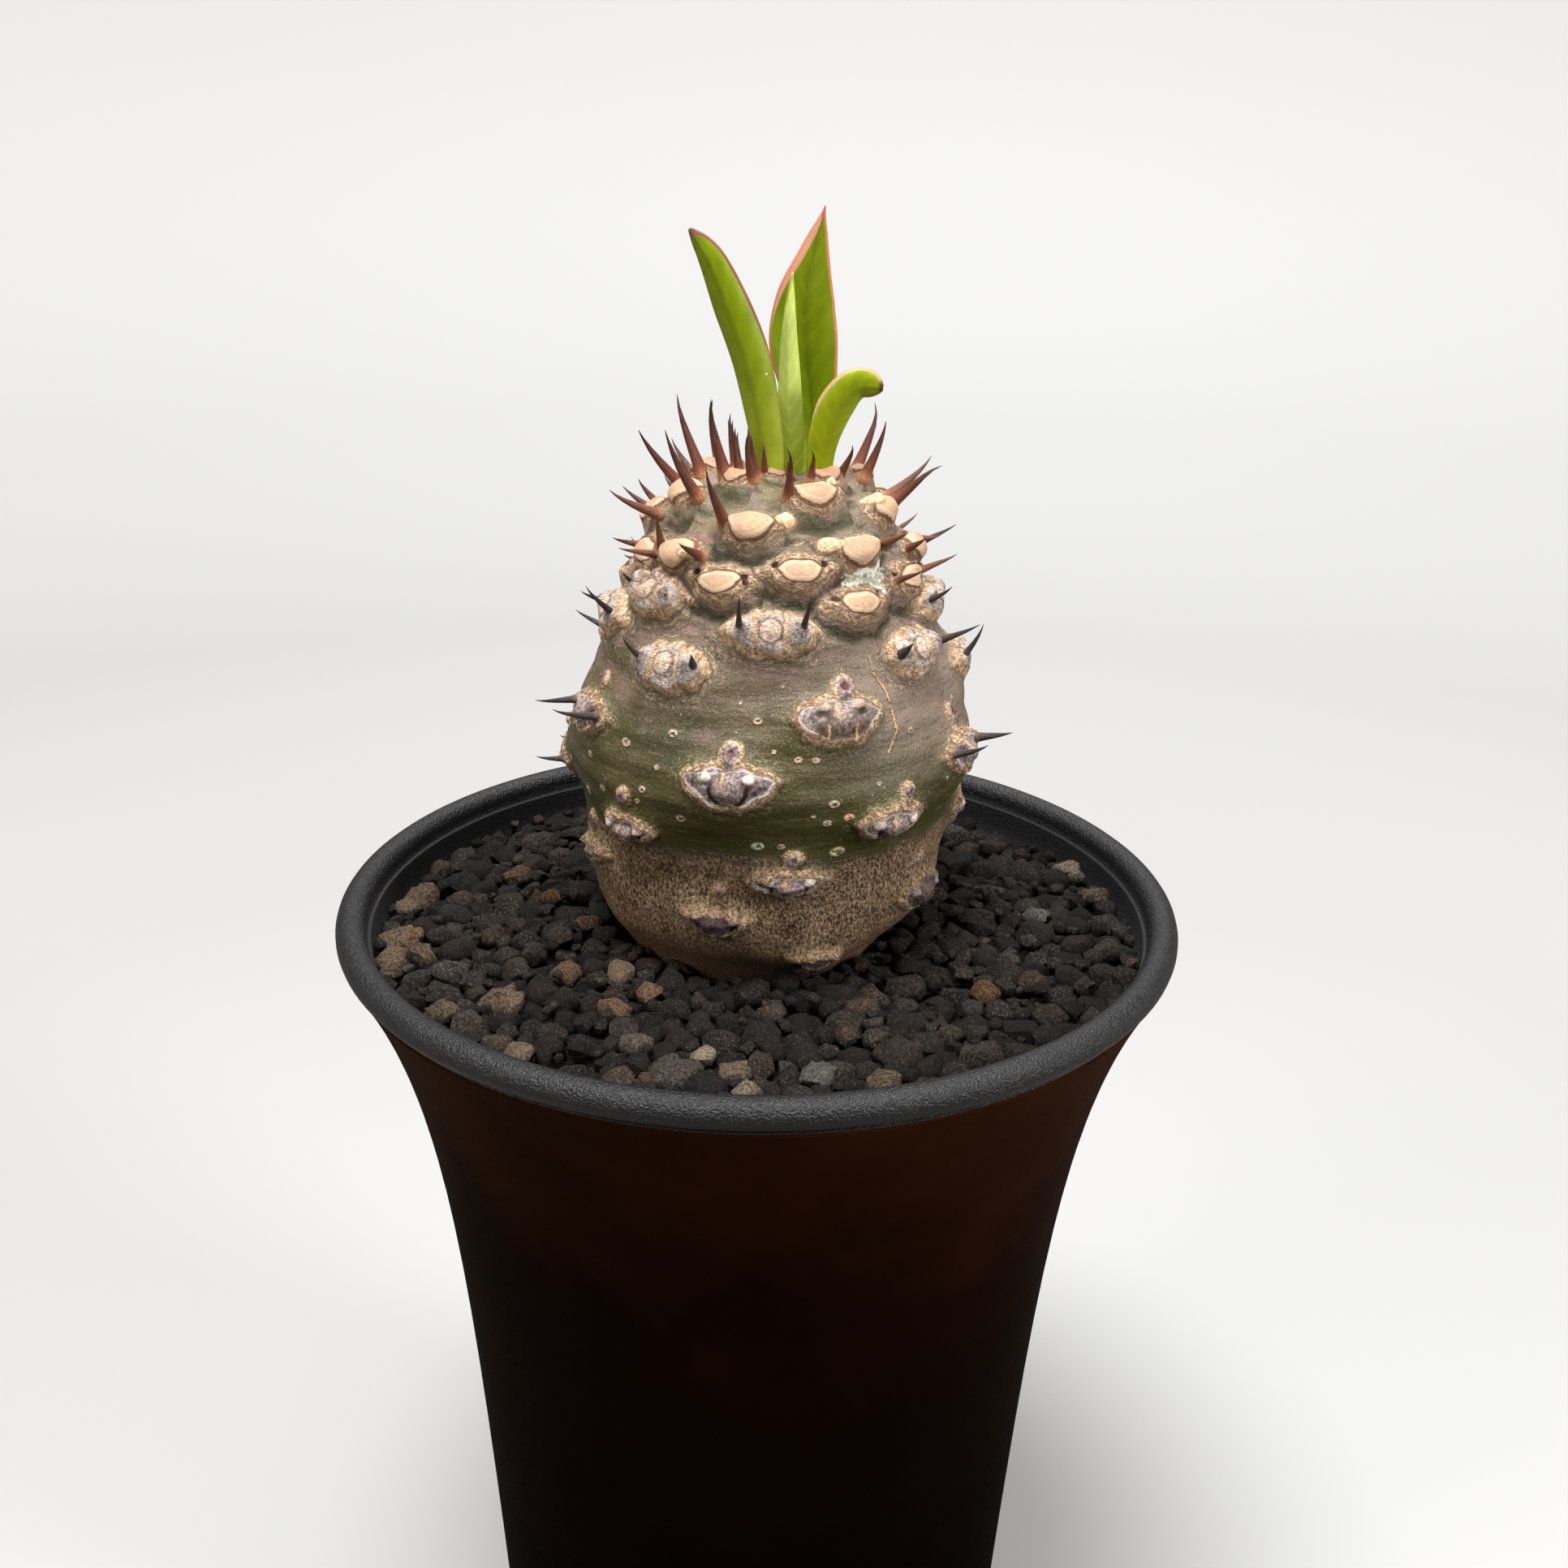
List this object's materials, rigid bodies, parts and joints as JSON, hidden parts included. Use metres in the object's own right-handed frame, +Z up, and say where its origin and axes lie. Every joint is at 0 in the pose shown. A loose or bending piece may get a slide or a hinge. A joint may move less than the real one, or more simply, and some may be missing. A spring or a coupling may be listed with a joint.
{
  "type": "potted spiny succulent plant",
  "caption": "Swollen upright succulent stem with spiralled tubercles, paired spines and a tuft of leaves, standing in granular soil in a tall flared plant pot.",
  "frame": {"origin": "centre of the pot's flat foot, on the surface it stands on", "axes": "+Z up along the pot's axis, -Y towards the viewer of the picture, +X to the viewer's right"},
  "size_m": [0.105, 0.105, 0.2113],
  "materials": {
    "pot_plastic": "satin black moulded plastic with a fine leather grain on the rim",
    "soil_grains": "loose porous volcanic grains, near black with a few tan and grey ones",
    "stem_skin": "living skin, olive green to mauve, corky below, with cream leaf scars and maroon spines",
    "leaf_green": "smooth fleshy leaf, bright green with reddish margins"
  },
  "bodies": {
    "root": {"pot": "pot_plastic", "soil": "soil_grains", "stem": "stem_skin", "leaf_left": "leaf_green", "leaf_centre": "leaf_green", "leaf_young": "leaf_green", "leaf_right": "leaf_green"}
  },
  "joints": []
}
